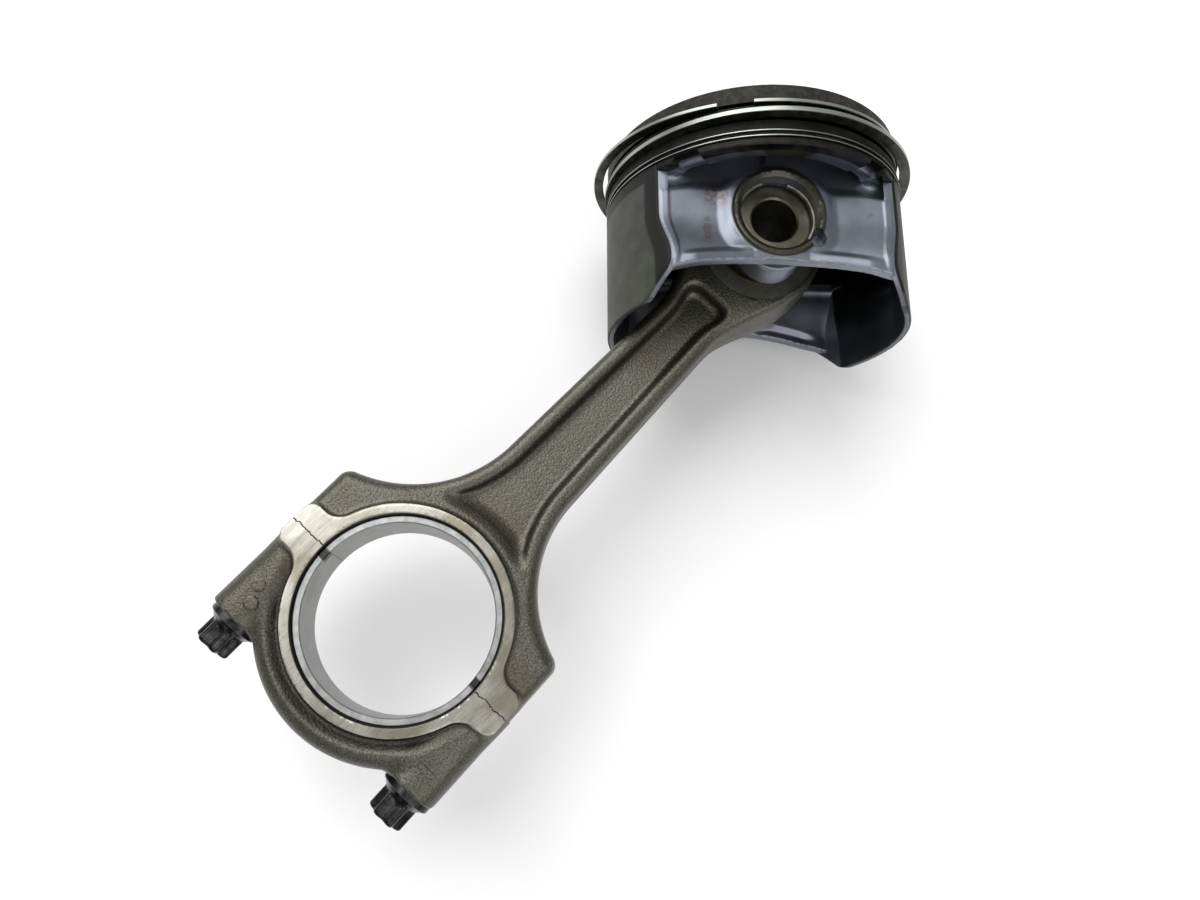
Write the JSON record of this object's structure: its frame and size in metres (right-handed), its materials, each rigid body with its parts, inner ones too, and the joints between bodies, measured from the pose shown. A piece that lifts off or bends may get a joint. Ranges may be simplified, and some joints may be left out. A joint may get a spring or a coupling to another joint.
{
  "type": "piston and connecting rod",
  "caption": "Used engine piston with rings, wrist pin and forged connecting rod, whose bolted big end cap and bearing shells clasp a crankpin.",
  "frame": {"origin": "centre of the crankpin bore, midway through its width", "axes": "+X along the rod to the wrist pin, +Z along the crankpin bore and the wrist pin, +Y across the rod; the piston is swung 42.5 degrees counter-clockwise about +Z"},
  "size_m": [0.2403, 0.1035, 0.0935],
  "materials": {
    "cast_aluminium": "oily cast surface with machined lands and a coated skirt",
    "ring_steel": "ground",
    "ring_iron": "turned",
    "pin_steel": "ground, oil-stained ends",
    "spring_wire": "drawn wire",
    "forged_steel": "shot-peened forging with ground faces",
    "bearing_metal": "satin bearing lining",
    "bronze": "bored",
    "black_bolt": "black oxide"
  },
  "bodies": {
    "rod": {"connecting_rod": "forged_steel", "bearing_cap": "forged_steel", "bearing_shell_rod": "bearing_metal", "bearing_shell_cap": "bearing_metal", "small_end_bush": "bronze", "rod_bolt_left": "black_bolt", "rod_bolt_right": "black_bolt"},
    "piston": {"piston_body": "cast_aluminium", "circlip_front": "spring_wire", "circlip_rear": "spring_wire"},
    "pin": {"wrist_pin": "pin_steel"},
    "first_ring": {"top_ring": "ring_steel"},
    "scraper_ring": {"second_ring": "ring_iron"},
    "upper_rail": {"oil_ring_upper_rail": "ring_steel"},
    "expander": {"oil_ring_expander": "ring_steel"},
    "lower_rail": {"oil_ring_lower_rail": "ring_steel"}
  },
  "joints": [
    {"name": "piston_swing", "type": "hinge", "parent": "rod", "child": "piston", "pos_m": [0.15, 0, 0], "axis": [0, 0, 1], "range_deg": [-86.5, 1.5]},
    {"name": "pin_turn", "type": "hinge", "parent": "piston", "child": "pin", "pos_m": [0.15, 0, 0], "axis": [0, 0, 1], "continuous": true},
    {"name": "top_ring_turn", "type": "hinge", "parent": "piston", "child": "first_ring", "pos_m": [0.14838, 0.00177, 0.0021], "axis": [0.7373, 0.6756, 0], "continuous": true},
    {"name": "second_ring_turn", "type": "hinge", "parent": "piston", "child": "scraper_ring", "pos_m": [0.15068, -0.00074, 0.0021], "axis": [0.7373, 0.6756, 0], "continuous": true},
    {"name": "upper_rail_turn", "type": "hinge", "parent": "piston", "child": "upper_rail", "pos_m": [0.15, 0, 0.0004], "axis": [0.7373, 0.6756, 0], "continuous": true},
    {"name": "expander_turn", "type": "hinge", "parent": "piston", "child": "expander", "pos_m": [0.15, 0, 0.0004], "axis": [0.7373, 0.6756, 0], "continuous": true},
    {"name": "lower_rail_turn", "type": "hinge", "parent": "piston", "child": "lower_rail", "pos_m": [0.15, 0, 0.0004], "axis": [0.7373, 0.6756, 0], "continuous": true}
  ]
}
